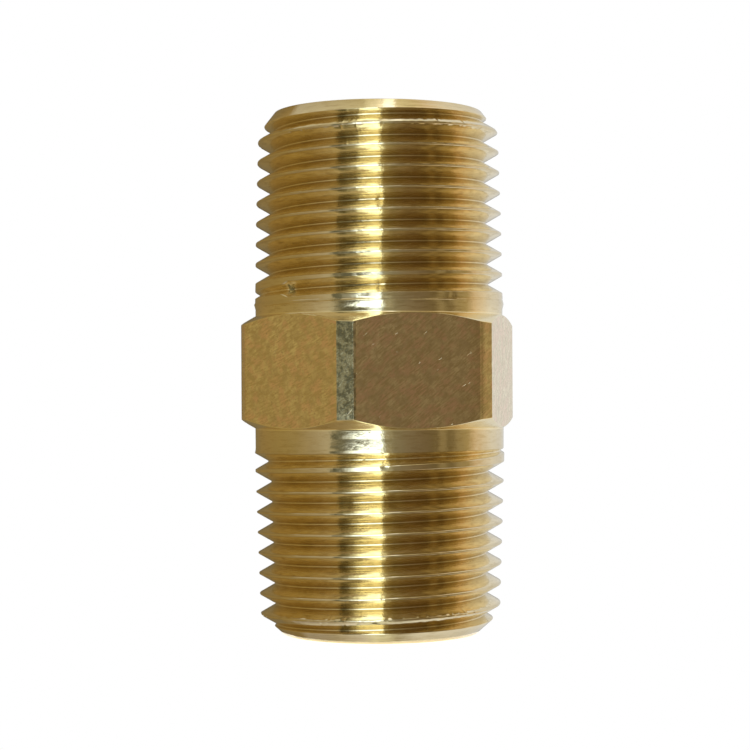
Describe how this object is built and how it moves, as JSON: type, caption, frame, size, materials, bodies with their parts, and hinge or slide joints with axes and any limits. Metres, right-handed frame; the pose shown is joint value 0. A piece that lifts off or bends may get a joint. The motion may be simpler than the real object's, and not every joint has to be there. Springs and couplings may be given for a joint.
{
  "type": "hex nipple",
  "caption": "Brass pipe nipple with a spanner hexagon between two male tapered pipe threads and a straight through bore.",
  "frame": {"origin": "on the thread axis, at the middle of the hexagon's height, which is also the middle of the overall length", "axes": "+Z along the bore towards the end with the wider end face, X through two opposite hexagon corners, Y through two opposite flats"},
  "size_m": [0.0194, 0.0174, 0.0362],
  "materials": {
    "brass": "as machined, hexagon faces as drawn"
  },
  "bodies": {
    "root": {"nipple_body": "brass"}
  },
  "joints": []
}
